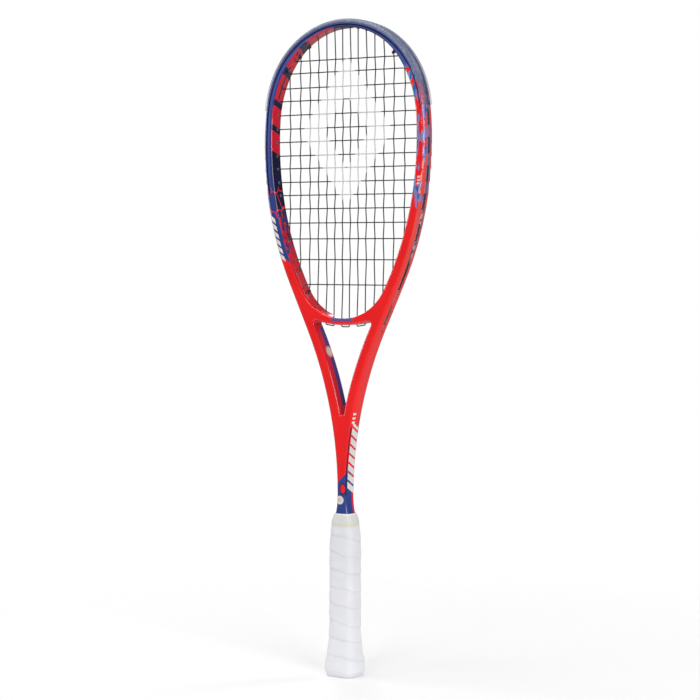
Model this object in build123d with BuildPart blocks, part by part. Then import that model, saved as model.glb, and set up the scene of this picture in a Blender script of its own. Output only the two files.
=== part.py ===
from build123d import *
import os
from math import atan2, copysign, cos, degrees, radians, sin, sqrt, tan

os.makedirs("parts", exist_ok=True)

# A squash racket: a hollow moulded carbon frame with a bonded throat bridge, clear grommet strips and a clear
# head bumper, a two-piece string bed, and a foam handle with a butt cap, a wound grip and a finishing tape.
# +Z runs up the handle to the head, X lies across the strings, and Y is the way the strings face.
# The origin is the middle of the butt's resting face.  Sizes are in millimetres, angles in degrees.

# ---- Frame ---------------------------------------------------------------------------------------
LENGTH = 686.0              # butt to the top of the bumper, the longest the rules allow
BUMPER_PROUD = 1.7          # the bumper stands this far off the frame
FRAME_TOP = LENGTH - BUMPER_PROUD
HALF_WIDTH = 99.0
BEAM = 18.0                 # depth of the frame, the same all round
WALL = 1.4                  # carbon laminate
# Outlines walk from the crown down the right-hand side: (radius, turn), or (length, None) when straight.
# A negative turn bends to the right.
OUTER_STEPS = [(96.3, -67.0), (111.0, -17.0), (351.0, -15.0), (344.0, -16.0), (52.6, None), (410.0, 25.0),
               (80.0, 14.0)]
OPENING_TOP = 677.0
OPENING_STEPS = [(81.6, -55.0), (114.0, -31.0), (341.0, -14.0), (326.5, -18.0)]
OUTER_ROUND = 4.0
OPENING_ROUND = 3.0
SHAFT_END = 22.0            # the shaft stops inside the handle at this height

# A shallow crease runs round the front and back of the hoop, this far in from its outside.
CREASE = (4.0, 5.1)
CREASE_DEPTH = 0.45
CREASE_FOOT = 505.0

# Throat opening: a tall triangle under the bridge, whose sides are arcs through these three points.
# The bridge's underside is an arc too, lowest in the middle, so that it follows the hoop.
BRIDGE_UNDERSIDE = 368.4
UNDERSIDE_RADIUS = 130.0
THROAT_SIDE = [(1.6, 274.5), (14.5, 321.0), (37.0, 373.8)]
THROAT_FOOT_ROUND = 1.5
THROAT_CORNERS = 2.6
BRIDGE_HALF_LENGTH = 31.0   # the bridge is bonded in between two faces at this X
BRIDGE_ROOM = 30.0          # and lies within this height of its underside

# ---- Strings and their fittings --------------------------------------------------------------------
STRING_RADIUS = 0.6
MAINS_HALF = [4.6, 14.2, 24.1, 34.5, 45.3, 57.2, 70.1]
CROSSES = [645.0, 632.3, 616.8, 603.5, 588.8, 574.3, 560.5, 546.0,
           532.5, 518.1, 504.3, 490.0, 475.0, 458.3, 436.5, 410.3]
WEAVE = 0.76                # how far each string passes off the middle plane at a crossing
WEAVE_BEND = 5.0
CORNER_BEND = 1.0
MOUTH_BEND = 2.0
RAY_HEIGHT = 560.0          # the mains are followed up and down from this height to their holes
LEAN_SHARE = 0.75           # a string turns this much of the way towards the frame's own normal in its hole
MOST_LEAN = 46.0
STAGGER = 1.1               # mains leave in front of the middle plane, crosses behind it
TIE_SHIFT = 0.68            # a tie-off hole carries two strings, this far either side of its middle
CLEAR_OF_MOUTH = 4.0        # a crossing closer than this to a string's mouth is not woven
KNOT_RADIUS = 1.87          # a tied tail is two turns round its main, a square of this half diagonal
KNOT_START = 1.2
KNOT_PITCH = 1.32
KNOT_BEND = 0.9
KNOT_CORNERS = 9
GROOVE_HALF = 3.2
GROOVE_DEPTH = 2.6
STRIP_HALF = 3.15
CHANNEL_HALF = 2.5
STRIP_FLOOR = 0.8
LONG_LOOP = 16.0            # a longer loop bends over the groove between its holes
STRING_LIFT = 1.15          # middle of the string above the strip's floor
MOUTH = 1.6                 # a string starts to bend this far inside the frame
BARREL_TO_BEND = 0.75       # a barrel ends this far short of the bend
BARREL_RADIUS = 1.5
BARREL_BORE = 0.88
TIE_BARREL_RADIUS = 1.95
TIE_BARREL_BORE = 1.5
FIT = 0.05
CUT_PAST = 4.0              # a cutter runs this far past the surface that it opens
BORE_BACK = -2.0            # and a barrel's bore starts this far short of the bend
BUMPER_HALF = 9.8
BUMPER_ROUND = 4.6
BUMPER_LIP = 2.4            # the bumper's edges reach this far down over the rounded frame
BUMPER_FOOT = 594.5         # the bumper meets the side strips at this height
STRIP_FOOT = 361.0
SADDLE_HALF_LENGTH = 29.0

# ---- Handle ----------------------------------------------------------------------------------------
# Outside of the wound grip: height, half width in X, half depth in Y, corner radius.
GRIP = [(2.5, 17.7, 16.0, 11.0), (5.5, 18.7, 17.0, 11.8), (11.0, 18.9, 17.2, 12.0), (18.0, 17.9, 16.3, 11.1),
        (26.0, 16.7, 15.2, 10.2), (36.0, 15.7, 14.1, 9.3), (48.0, 15.0, 13.4, 8.6), (140.0, 14.7, 13.1, 8.3),
        (151.0, 14.0, 12.6, 7.8), (159.0, 12.9, 12.0, 7.1), (164.0, 12.0, 11.5, 6.6)]
GRIP_THICKNESS = 1.8
BACKING = 0.2
CAP_TOP = 18.0
CAP_WALL = 1.4
CAP_PLATE = 2.5
GRIP_TIP = (171.0, 9.2, 9.9, 5.0)
PALLET_TIP = [(164.0, 10.0, 9.5, 4.6), (171.0, 8.8, 9.5, 4.6)]
CAP_FOOT = (0.0, 16.6, 14.9, 10.1)
TAPE = [(158.0, 13.4, 12.5, 7.6), (164.0, 12.4, 11.9, 7.0), (170.4, 10.3, 10.7, 5.8), (171.4, 9.4, 10.1, 5.2)]
PLUG_TOP = 62.0
STAPLE_WIRE = 0.7
STAPLE_HALF = 5.0
STAPLE_LEG = 5.0
STAPLE_HEIGHT = 14.0
STAPLE_FACE = 14.8          # the staples' crowns lie flush with the cap this far off the middle


# ---- Outlines --------------------------------------------------------------------------------------

def walk(top, steps, inset=0.0):
    """Follow an outline moved inwards by inset: each step as (x, z, heading, size, turn)."""
    x, z, heading = 0.0, top - inset, 0.0
    route = []
    for size, turn in steps:
        if turn is None:
            route.append((x, z, heading, size, None))
            x += size * cos(radians(heading))
            z += size * sin(radians(heading))
            continue
        side = copysign(1.0, turn)
        size += side * inset
        route.append((x, z, heading, size, turn))
        x += side * size * (sin(radians(heading + turn)) - sin(radians(heading)))
        z -= side * size * (cos(radians(heading + turn)) - cos(radians(heading)))
        heading += turn
    route.append((x, z, heading, 0.0, None))
    return route


def hit(route, x, z, direction):
    """Where a line from (x, z) first meets an outline, and the outline's heading there."""
    ux, uz = cos(radians(direction)), sin(radians(direction))
    found = []
    for x0, z0, heading, size, turn in route:
        if size == 0.0:
            continue
        if turn is None:
            hx, hz = cos(radians(heading)), sin(radians(heading))
            cross = hx * uz - hz * ux
            along = ((x - x0) * uz - (z - z0) * ux) / cross
            reach = ((x - x0) * hz - (z - z0) * hx) / cross
            if -0.01 <= along <= size + 0.01 and reach > 0:
                found.append((reach, heading))
            continue
        side = copysign(1.0, turn)
        cx = x0 - side * size * sin(radians(heading))
        cz = z0 + side * size * cos(radians(heading))
        half = (x - cx) * ux + (z - cz) * uz
        root = half * half - (x - cx) ** 2 - (z - cz) ** 2 + size * size
        if root < 0:
            continue
        for reach in (-half - sqrt(root), -half + sqrt(root)):
            angle = degrees(atan2(z + reach * uz - cz, x + reach * ux - cx)) + 90 * side
            angle = (angle - 20) % 360 - 340
            low, high = sorted((heading, heading + turn))
            if reach > 0 and low - 0.05 <= angle <= high + 0.05:
                found.append((reach, angle))
    reach, angle = min(found)
    return x + reach * ux, z + reach * uz, angle


side_x, _, side_heading, _, _ = walk(OPENING_TOP, OPENING_STEPS)[-1]
OPENING_STEPS.append((side_x / sin(radians(180 + side_heading)), -180 - side_heading))


def plan_of(route, closing_points):
    """A whole outline from one half of its route, closed along the axis."""
    with BuildSketch(Plane.XZ) as plan:
        with BuildLine():
            for x, z, heading, size, turn in route[:-1]:
                if turn is None:
                    PolarLine((x, z), size, heading)
                else:
                    JernArc((x, z), (cos(radians(heading)), sin(radians(heading))), size, turn)
            Polyline(*closing_points)
        make_face()
        mirror(about=Plane.YZ)
    return plan.sketch


def frame_plan(inset=0.0, foot=SHAFT_END):
    """Plan of the frame with its openings filled."""
    route = walk(FRAME_TOP, OUTER_STEPS, inset)
    return plan_of(route, [route[-1][:2], (route[-1][0], foot), (0, foot), (0, route[0][1])])


def opening_plan(inset=0.0):
    """Plan of the opening that the string bed fills."""
    route = walk(OPENING_TOP, OPENING_STEPS, inset)
    return plan_of(route, [(0, route[-1][1]), (0, route[0][1])])


def underside(x):
    """Height of the bridge's underside at X."""
    return BRIDGE_UNDERSIDE + UNDERSIDE_RADIUS - sqrt(UNDERSIDE_RADIUS ** 2 - x ** 2)


def throat_plan(outset=0.0):
    """Plan of the throat opening."""
    corner_x, corner_z = THROAT_SIDE[2]
    with BuildSketch(Plane.XZ) as plan:
        with BuildLine():
            ThreePointArc(*THROAT_SIDE)
            ThreePointArc((corner_x, corner_z), (corner_x / 2, underside(corner_x / 2)), (0, BRIDGE_UNDERSIDE))
            Polyline((0, BRIDGE_UNDERSIDE), (0, THROAT_SIDE[0][1]), THROAT_SIDE[0])
        make_face()
        mirror(about=Plane.YZ)
        fillet(plan.vertices().group_by(Axis.Y)[0], THROAT_FOOT_ROUND)
        fillet(plan.vertices().group_by(Axis.Y)[-1], THROAT_CORNERS)
        if outset:
            offset(amount=outset)
    return plan.sketch


def faces_y(edges, depth):
    """The edges that lie flat at a depth either side of the middle plane, above the shaft's end."""
    return [e for e in edges if abs(abs(e.center().Y) - depth) < 0.01 and e.center().Z > SHAFT_END + 0.2]


def hoop_band(outside, inside, half_depth, foot, rounding=0.0):
    """A band that follows the outside of the hoop, above foot, between two distances off its surface."""
    with BuildPart() as band:
        extrude(frame_plan(-outside), amount=half_depth, both=True)
        if rounding:
            fillet(faces_y(band.edges(), half_depth), rounding)
        extrude(frame_plan(-inside), amount=half_depth, both=True, mode=Mode.SUBTRACT)
        split(bisect_by=Plane.XY.offset(foot), keep=Keep.TOP)
    return band.part


# ---- Routes of the strings -------------------------------------------------------------------------

def string_end(x, z, direction):
    """The bend at a string's mouth and its corner in the groove, on the right-hand side."""
    mouth_x, mouth_z, heading = hit(walk(OPENING_TOP, OPENING_STEPS, MOUTH), x, z, direction)
    lean = LEAN_SHARE * (heading + 90 - direction)
    direction += max(-MOST_LEAN, min(MOST_LEAN, lean))
    groove = GROOVE_DEPTH - STRIP_FLOOR - STRING_LIFT
    corner_x, corner_z, _ = hit(walk(FRAME_TOP, OUTER_STEPS, groove), mouth_x, mouth_z, direction)
    return (mouth_x, mouth_z), (corner_x, corner_z)


def hole(x, z, direction, y, tie):
    """A string hole as (mouth, corner, y of its middle, whether it takes a tie-off)."""
    if direction == -90 and abs(x) < BRIDGE_HALF_LENGTH:
        mouth_z = hit(walk(OPENING_TOP, OPENING_STEPS, MOUTH), abs(x), z, direction)[1]
        corner_z = underside(x) - STRIP_FLOOR - STRING_LIFT
        return (x, mouth_z), (x, corner_z), y, tie
    mouth, corner = string_end(abs(x), z, direction)
    side = copysign(1.0, x)
    return (side * mouth[0], mouth[1]), (side * corner[0], corner[1]), y, tie


MAINS = [-x for x in reversed(MAINS_HALF)] + MAINS_HALF
main_tops = [hole(x, RAY_HEIGHT, 90, -STAGGER, i in (1, 2, 12)) for i, x in enumerate(MAINS)]
main_feet = [hole(x, RAY_HEIGHT, -90, -STAGGER, i == 2) for i, x in enumerate(MAINS)]
cross_lefts = [hole(-1e-6, z, 0, STAGGER, False) for z in CROSSES]
cross_rights = [hole(1e-6, z, 0, STAGGER, False) for z in CROSSES]


def at(place, y):
    """A point of the string plane moved to depth y."""
    return Vector(place[0], y, place[1])


def through(end, inwards, resident=True):
    """The bends of a string that passes through a hole, from the groove inwards or the other way."""
    mouth, corner, y, tie = end
    if tie:
        y += -TIE_SHIFT if resident else TIE_SHIFT
    route = [(at(corner, y), CORNER_BEND), (at(mouth, y), MOUTH_BEND)]
    return route if inwards else route[::-1]


def along_groove(start, end, y):
    """Where a long loop rides over the curved groove, half way between two holes."""
    first, last = start[1], end[1]
    if abs(first[0] - last[0]) + abs(first[1] - last[1]) < LONG_LOOP:
        return []
    side = copysign(1.0, first[0])
    run_x, run_z = abs(last[0]) - abs(first[0]), last[1] - first[1]
    if run_z > 0:
        run_x, run_z = -run_x, -run_z
    outward = degrees(atan2(run_z, run_x)) + 90
    x = abs(first[0] + last[0]) / 2 - cos(radians(outward))
    z = (first[1] + last[1]) / 2 - sin(radians(outward))
    x, z, _ = hit(walk(FRAME_TOP, OUTER_STEPS, GROOVE_DEPTH - STRIP_FLOOR - STRING_LIFT), x, z, outward)
    return [(Vector(side * x, y, z), CORNER_BEND)]


def woven(i, j):
    """Whether main i and cross j bend round each other."""
    inside_cross = abs(MAINS[i]) < cross_rights[j][0][0] - CLEAR_OF_MOUTH
    low, high = main_feet[i][0][1] + CLEAR_OF_MOUTH, main_tops[i][0][1] - CLEAR_OF_MOUTH
    return inside_cross and low < CROSSES[j] < high


def weave_y(i, j):
    """Depth of main i where it passes cross j; the cross takes the opposite depth."""
    return WEAVE if (i + j) % 2 else -WEAVE


def main_run(i, down):
    """The woven part of main i."""
    run = [(Vector(MAINS[i], weave_y(i, j), CROSSES[j]), WEAVE_BEND) for j in range(16) if woven(i, j)]
    return run if down else run[::-1]


def cross_run(j, rightwards):
    """The woven part of cross j."""
    run = [(Vector(MAINS[i], -weave_y(i, j), CROSSES[j]), WEAVE_BEND) for i in range(14) if woven(i, j)]
    return run if rightwards else run[::-1]


def knot(end, i, top):
    """A tail tied round main i just inside its hole: down beside the main, then two turns."""
    mouth = at(end[0], end[2] - TIE_SHIFT)
    first = main_run(i, top)[0][0]
    along = (first - mouth).normalized()
    route = []
    for corner in range(KNOT_CORNERS):
        angle = radians(135 - 90 * corner)
        middle = mouth + along * (KNOT_START + KNOT_PITCH * corner / 4)
        route.append((middle + Vector(cos(angle), sin(angle), 0) * KNOT_RADIUS, KNOT_BEND))
    return route


def string_path(route):
    """The middle of a string along a route of corners, each rounded to its own radius."""
    with BuildLine() as path:
        place = route[0][0]
        for (before, _), (corner, radius), (after, _) in zip(route, route[1:], route[2:]):
            arriving, leaving = (corner - before).normalized(), (after - corner).normalized()
            turn = radians(arriving.get_angle(leaving))
            if turn < 0.002:
                continue
            room = 0.49 * min((corner - before).length, (after - corner).length)
            reach = min(radius * tan(turn / 2), room)
            start, end = corner - arriving * reach, corner + leaving * reach
            middle = corner + (leaving - arriving).normalized() * reach * tan(turn / 4)
            Line(place, start)
            ThreePointArc(start, middle, end)
            place = end
        Line(place, route[-1][0])
    return path.line


# ---- Holes through the frame -----------------------------------------------------------------------

def bar(end, radius, tie_radius, start, past=0.0):
    """A round bar along a string hole, from start off the bend at its mouth to past its groove corner."""
    mouth, corner, y, tie = end
    foot, tip = at(mouth, y), at(corner, y)
    along = (tip - foot).normalized()
    with BuildPart(Plane(foot + along * start, z_dir=along), mode=Mode.PRIVATE) as rod:
        Cylinder(tie_radius if tie else radius, (tip - foot).length - start + past,
                 align=(Align.CENTER, Align.CENTER, Align.MIN))
    return rod.part


bridge_holes = [end for end in main_feet if abs(end[0][0]) < BRIDGE_HALF_LENGTH]
hoop_holes = [end for end in main_tops + main_feet + cross_lefts + cross_rights if end not in bridge_holes]
bumper_holes = [end for end in hoop_holes if end[1][1] > BUMPER_FOOT]
side_holes = [end for end in hoop_holes if end[1][1] < BUMPER_FOOT]

# ---- Frame and bridge ------------------------------------------------------------------------------
# One hollow hairpin makes the hoop, both throat arms and the shaft.
with BuildPart() as envelope:
    extrude(frame_plan(), amount=BEAM / 2, both=True)
    fillet(faces_y(envelope.edges(), BEAM / 2), OUTER_ROUND)
    extrude(opening_plan(), amount=BEAM, both=True, mode=Mode.SUBTRACT)
    fillet(faces_y(envelope.edges(Select.LAST), BEAM / 2), OPENING_ROUND)
    extrude(throat_plan(), amount=BEAM, both=True, mode=Mode.SUBTRACT)
    fillet(faces_y(envelope.edges(Select.LAST), BEAM / 2), OPENING_ROUND)

# The cavity keeps clear of the string groove by a wall's thickness.
with BuildPart() as cavity:
    extrude(frame_plan(WALL, SHAFT_END - 1), amount=BEAM / 2 - WALL, both=True)
    fillet(faces_y(cavity.edges(), BEAM / 2 - WALL), OUTER_ROUND - WALL)
    extrude(opening_plan(-WALL), amount=BEAM, both=True, mode=Mode.SUBTRACT)
    fillet(faces_y(cavity.edges(Select.LAST), BEAM / 2 - WALL), OPENING_ROUND - WALL)
    extrude(throat_plan(WALL), amount=BEAM, both=True, mode=Mode.SUBTRACT)
    fillet(faces_y(cavity.edges(Select.LAST), BEAM / 2 - WALL), OPENING_ROUND - WALL)
    add(hoop_band(CUT_PAST, -GROOVE_DEPTH - WALL, GROOVE_HALF + WALL, STRIP_FOOT - WALL), mode=Mode.SUBTRACT)

with BuildPart() as bridge_zone:
    with BuildSketch(Plane.XZ) as zone:
        with Locations((0, BRIDGE_UNDERSIDE - 1)):
            Rectangle(2 * BRIDGE_HALF_LENGTH, BRIDGE_ROOM, align=(Align.CENTER, Align.MIN))
    extrude(amount=BEAM, both=True)

with BuildPart() as crease:
    add(hoop_band(-CREASE[0], -CREASE[1], BEAM / 2 + 1, CREASE_FOOT))
    with Locations((0, 0, FRAME_TOP)):
        Box(3 * HALF_WIDTH, BEAM - 2 * CREASE_DEPTH, 4 * HALF_WIDTH, mode=Mode.SUBTRACT)

with BuildPart() as frame:
    add(envelope.part)
    add(crease.part, mode=Mode.SUBTRACT)
    add(hoop_band(CUT_PAST, -GROOVE_DEPTH, GROOVE_HALF, STRIP_FOOT), mode=Mode.SUBTRACT)
    add(cavity.part, mode=Mode.SUBTRACT)
    add(bridge_zone.part, mode=Mode.SUBTRACT)
    for end in hoop_holes:
        add(bar(end, BARREL_RADIUS + FIT, TIE_BARREL_RADIUS + FIT, 0.0, CUT_PAST), mode=Mode.SUBTRACT)
frame.part.label = "frame"
export_step(frame.part, "parts/frame.step")

# The bridge is bonded in between the arms and is filled with foam.
with BuildPart() as throat_bridge:
    add(envelope.part)
    add(bridge_zone.part, mode=Mode.INTERSECT)
    add(cavity.part, mode=Mode.SUBTRACT)
    for end in bridge_holes:
        add(bar(end, BARREL_RADIUS + FIT, TIE_BARREL_RADIUS + FIT, 0.0, CUT_PAST), mode=Mode.SUBTRACT)
throat_bridge.part.label = "throat_bridge"
export_step(throat_bridge.part, "parts/throat_bridge.step")

with BuildPart() as bridge_core:
    add(cavity.part)
    add(bridge_zone.part, mode=Mode.INTERSECT)
    for end in bridge_holes:
        add(bar(end, BARREL_RADIUS + FIT, TIE_BARREL_RADIUS + FIT, 0.0, CUT_PAST), mode=Mode.SUBTRACT)
bridge_core.part.label = "bridge_core"
export_step(bridge_core.part, "parts/bridge_core.step")

# Foam plug that closes the shaft's open end inside the handle.
with BuildPart() as shaft_plug:
    add(cavity.part)
    split(bisect_by=Plane.XY.offset(PLUG_TOP), keep=Keep.BOTTOM)
    split(bisect_by=Plane.XY.offset(SHAFT_END), keep=Keep.TOP)
shaft_plug.part.label = "shaft_plug"
export_step(shaft_plug.part, "parts/shaft_plug.step")

# ---- Bumper and grommet strips ---------------------------------------------------------------------
# The bumper caps the crown: a lipped cover over the frame, a trough in its groove, and its string barrels.
with BuildPart() as head_bumper:
    add(hoop_band(BUMPER_PROUD, -BUMPER_LIP, BUMPER_HALF, BUMPER_FOOT, BUMPER_ROUND))
    add(envelope.part, mode=Mode.SUBTRACT)
    add(hoop_band(0.4, -GROOVE_DEPTH, STRIP_HALF, BUMPER_FOOT))
    for end in bumper_holes:
        add(bar(end, BARREL_RADIUS, TIE_BARREL_RADIUS, BARREL_TO_BEND, 0.0))
    add(hoop_band(CUT_PAST, STRIP_FLOOR - GROOVE_DEPTH, CHANNEL_HALF, BUMPER_FOOT - CUT_PAST),
        mode=Mode.SUBTRACT)
    for end in bumper_holes:
        add(bar(end, BARREL_BORE, TIE_BARREL_BORE, BORE_BACK, CUT_PAST), mode=Mode.SUBTRACT)
head_bumper.part.label = "head_bumper"
export_step(head_bumper.part, "parts/head_bumper.step")

# The side strips are troughs in the groove with the same barrels.
with BuildPart() as strips:
    add(hoop_band(0.0, -GROOVE_DEPTH, STRIP_HALF, STRIP_FOOT))
    split(bisect_by=Plane.XY.offset(BUMPER_FOOT - 0.2), keep=Keep.BOTTOM)
    for end in side_holes:
        add(bar(end, BARREL_RADIUS, TIE_BARREL_RADIUS, BARREL_TO_BEND, 0.0))
    add(hoop_band(CUT_PAST, STRIP_FLOOR - GROOVE_DEPTH, CHANNEL_HALF, STRIP_FOOT - CUT_PAST),
        mode=Mode.SUBTRACT)
    for end in side_holes:
        add(bar(end, BARREL_BORE, TIE_BARREL_BORE, BORE_BACK, CUT_PAST), mode=Mode.SUBTRACT)

with BuildPart() as grommet_strip_left:
    add(strips.part)
    split(bisect_by=Plane.YZ, keep=Keep.BOTTOM)
grommet_strip_left.part.label = "grommet_strip_left"
export_step(grommet_strip_left.part, "parts/grommet_strip_left.step")

with BuildPart() as grommet_strip_right:
    add(strips.part)
    split(bisect_by=Plane.YZ, keep=Keep.TOP)
grommet_strip_right.part.label = "grommet_strip_right"
export_step(grommet_strip_right.part, "parts/grommet_strip_right.step")

# The bridge's strip curves along under it.
with BuildPart() as grommet_strip_bridge:
    with BuildSketch(Plane.XY.offset(BRIDGE_UNDERSIDE - CUT_PAST)):
        SlotOverall(2 * SADDLE_HALF_LENGTH, 2 * STRIP_HALF)
    extrude(amount=BRIDGE_ROOM / 2)
    with BuildSketch(Plane.XZ):
        with Locations((0, BRIDGE_UNDERSIDE + UNDERSIDE_RADIUS)):
            Circle(UNDERSIDE_RADIUS + STRIP_FLOOR)
            Circle(UNDERSIDE_RADIUS + FIT, mode=Mode.SUBTRACT)
    extrude(amount=BEAM, both=True, mode=Mode.INTERSECT)
    for end in bridge_holes:
        add(bar(end, BARREL_RADIUS, TIE_BARREL_RADIUS, BARREL_TO_BEND, -STRING_LIFT - 0.1))
    for end in bridge_holes:
        add(bar(end, BARREL_BORE, TIE_BARREL_BORE, BORE_BACK, CUT_PAST), mode=Mode.SUBTRACT)
grommet_strip_bridge.part.label = "grommet_strip_bridge"
export_step(grommet_strip_bridge.part, "parts/grommet_strip_bridge.step")

# ---- Handle ----------------------------------------------------------------------------------------

def lofted(sections, inset=0.0):
    """A solid through rounded rectangles (height, half width, half depth, corner radius), inset all round."""
    with BuildPart() as solid:
        for z, half_x, half_y, corner in sections:
            with BuildSketch(Plane.XY.offset(z)):
                RectangleRounded(2 * (half_x - inset), 2 * (half_y - inset), corner - inset)
        loft(ruled=True)
    return solid.part


with BuildPart() as grip_outside:
    add(lofted(GRIP + [GRIP_TIP]))

with BuildPart() as grip_bed:
    add(lofted(GRIP, GRIP_THICKNESS))

with BuildPart() as cap_pocket:
    add(lofted([section for section in GRIP if section[0] <= CAP_TOP], GRIP_THICKNESS + CAP_WALL))

# The pallet's own outside: inside the cap's cup below CAP_TOP, just under the backing tape above it.
with BuildPart() as pallet_outside:
    add(lofted([section for section in GRIP if section[0] >= CAP_TOP], GRIP_THICKNESS + BACKING))
    add(lofted(PALLET_TIP))
    add(cap_pocket.part)

# Staples through the cap into the handle, one on each broad side.
staple_y = STAPLE_FACE - STAPLE_WIRE / 2
with BuildPart() as staple_front:
    with Locations((0, -staple_y, STAPLE_HEIGHT)):
        Box(2 * STAPLE_HALF, STAPLE_WIRE, STAPLE_WIRE)
    with Locations((-STAPLE_HALF + STAPLE_WIRE / 2, -staple_y, STAPLE_HEIGHT),
                   (STAPLE_HALF - STAPLE_WIRE / 2, -staple_y, STAPLE_HEIGHT)):
        Box(STAPLE_WIRE, STAPLE_LEG, STAPLE_WIRE, align=(Align.CENTER, Align.MIN, Align.CENTER))
    fillet(staple_front.edges().filter_by(Axis.Z).sort_by(Axis.Y)[:2], STAPLE_WIRE / 2)
staple_front.part.label = "staple_front"
export_step(staple_front.part, "parts/staple_front.step")

with BuildPart() as staple_back:
    add(staple_front.part)
    mirror(about=Plane.XZ, mode=Mode.REPLACE)
staple_back.part.label = "staple_back"
export_step(staple_back.part, "parts/staple_back.step")

# Moulded foam pallet round the shaft.
with BuildPart() as handle_pallet:
    add(pallet_outside.part)
    add(envelope.part, mode=Mode.SUBTRACT)
    add([staple_front.part, staple_back.part], mode=Mode.SUBTRACT)
handle_pallet.part.label = "handle_pallet"
export_step(handle_pallet.part, "parts/handle_pallet.step")

# Butt cap: a cup over the end of the pallet, with a rim that the grip butts against.
with BuildPart() as butt_cap:
    add(lofted([section for section in GRIP if section[0] <= CAP_TOP], GRIP_THICKNESS))
    add(cap_pocket.part, mode=Mode.SUBTRACT)
    add(lofted([CAP_FOOT, GRIP[0]]))
    fillet(butt_cap.faces().sort_by(Axis.Z)[0].edges(), 1.5)
    add([staple_front.part, staple_back.part], mode=Mode.SUBTRACT)
butt_cap.part.label = "butt_cap"
export_step(butt_cap.part, "parts/butt_cap.step")

# Double-sided tape that holds the grip to the pallet.
with BuildPart() as grip_backing:
    add(grip_bed.part)
    add(pallet_outside.part, mode=Mode.SUBTRACT)
    split(bisect_by=Plane.XY.offset(CAP_TOP), keep=Keep.TOP)
grip_backing.part.label = "grip_backing"
export_step(grip_backing.part, "parts/grip_backing.step")

# The wound grip, feathered out onto the shaft at its top.
with BuildPart() as grip_wrap:
    add(grip_outside.part)
    add(grip_bed.part, mode=Mode.SUBTRACT)
    add(pallet_outside.part, mode=Mode.SUBTRACT)
    add(envelope.part, mode=Mode.SUBTRACT)
grip_wrap.part.label = "grip_wrap"
export_step(grip_wrap.part, "parts/grip_wrap.step")

# Finishing tape over the grip's end.
with BuildPart() as finishing_tape:
    add(lofted(TAPE))
    add(grip_outside.part, mode=Mode.SUBTRACT)
    add(envelope.part, mode=Mode.SUBTRACT)
finishing_tape.part.label = "finishing_tape"
export_step(finishing_tape.part, "parts/finishing_tape.step")

# ---- Strings ---------------------------------------------------------------------------------------
# Mains: tied off at the second main, then down and up all fourteen, and tied off at the thirteenth.
main_route = knot(main_tops[1], 1, True)[::-1] + through(main_tops[1], False, False)
from_hole = main_tops[1]
for i in range(14):
    down = i % 2 == 0
    first, last = (main_tops[i], main_feet[i]) if down else (main_feet[i], main_tops[i])
    main_route += along_groove(from_hole, first, -STAGGER) + through(first, True)
    main_route += main_run(i, down) + through(last, False)
    from_hole = last
main_route += along_groove(from_hole, main_tops[12], -STAGGER)
main_route += through(main_tops[12], True, False) + knot(main_tops[12], 12, True)

main_path = string_path(main_route)
with BuildPart() as main_string:
    with BuildSketch(Plane(origin=main_path @ 0, z_dir=main_path % 0)):
        Circle(STRING_RADIUS)
    sweep(path=main_path)
main_string.part.label = "main_string"
export_step(main_string.part, "parts/main_string.step")

# Crosses: tied off at the third main's top, across and back sixteen times, tied off at the third main's foot.
cross_route = knot(main_tops[2], 2, True)[::-1] + through(main_tops[2], False, False)
cross_route += along_groove(main_tops[2], main_tops[1], STAGGER)
cross_route += [(at(main_tops[1][1], STAGGER), CORNER_BEND)]
from_hole = main_tops[1]
for j in range(16):
    right = j % 2 == 0
    first, last = (cross_lefts[j], cross_rights[j]) if right else (cross_rights[j], cross_lefts[j])
    cross_route += along_groove(from_hole, first, STAGGER) + through(first, True)
    cross_route += cross_run(j, right) + through(last, False)
    from_hole = last
cross_route += along_groove(from_hole, main_feet[2], STAGGER)
cross_route += through(main_feet[2], True, False) + knot(main_feet[2], 2, False)

cross_path = string_path(cross_route)
with BuildPart() as cross_string:
    with BuildSketch(Plane(origin=cross_path @ 0, z_dir=cross_path % 0)):
        Circle(STRING_RADIUS)
    sweep(path=cross_path)
cross_string.part.label = "cross_string"
export_step(cross_string.part, "parts/cross_string.step")
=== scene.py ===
import math

import bmesh
import bpy
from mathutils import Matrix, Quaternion, Vector, noise


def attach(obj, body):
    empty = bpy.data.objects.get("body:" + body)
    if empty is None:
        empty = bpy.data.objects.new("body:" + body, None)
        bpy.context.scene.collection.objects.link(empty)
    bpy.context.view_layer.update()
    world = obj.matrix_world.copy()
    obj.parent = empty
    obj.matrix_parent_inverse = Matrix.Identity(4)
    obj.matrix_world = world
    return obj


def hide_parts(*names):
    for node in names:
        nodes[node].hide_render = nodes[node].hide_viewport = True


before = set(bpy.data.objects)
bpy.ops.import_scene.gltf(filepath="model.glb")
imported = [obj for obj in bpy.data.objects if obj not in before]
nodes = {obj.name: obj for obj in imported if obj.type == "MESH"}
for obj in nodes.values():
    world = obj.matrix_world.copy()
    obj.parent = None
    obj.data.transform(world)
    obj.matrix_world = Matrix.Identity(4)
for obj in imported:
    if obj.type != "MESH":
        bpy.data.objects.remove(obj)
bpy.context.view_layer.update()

# ---- Studio ----------------------------------------------------------------------------------------
# The racket stands upright on its butt, on a pale painted floor that fades into a pale surround.
# Large soft boxes all round light it, and the camera stands a little above its mid height, well to the right
# of its front.


def linear(hex_colour, alpha=1.0):
    """An sRGB hex colour as linear RGBA."""
    parts = [int(hex_colour[i:i + 2], 16) / 255 for i in (1, 3, 5)]
    return [p / 12.92 if p <= 0.04045 else ((p + 0.055) / 1.055) ** 2.4 for p in parts] + [alpha]


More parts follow.
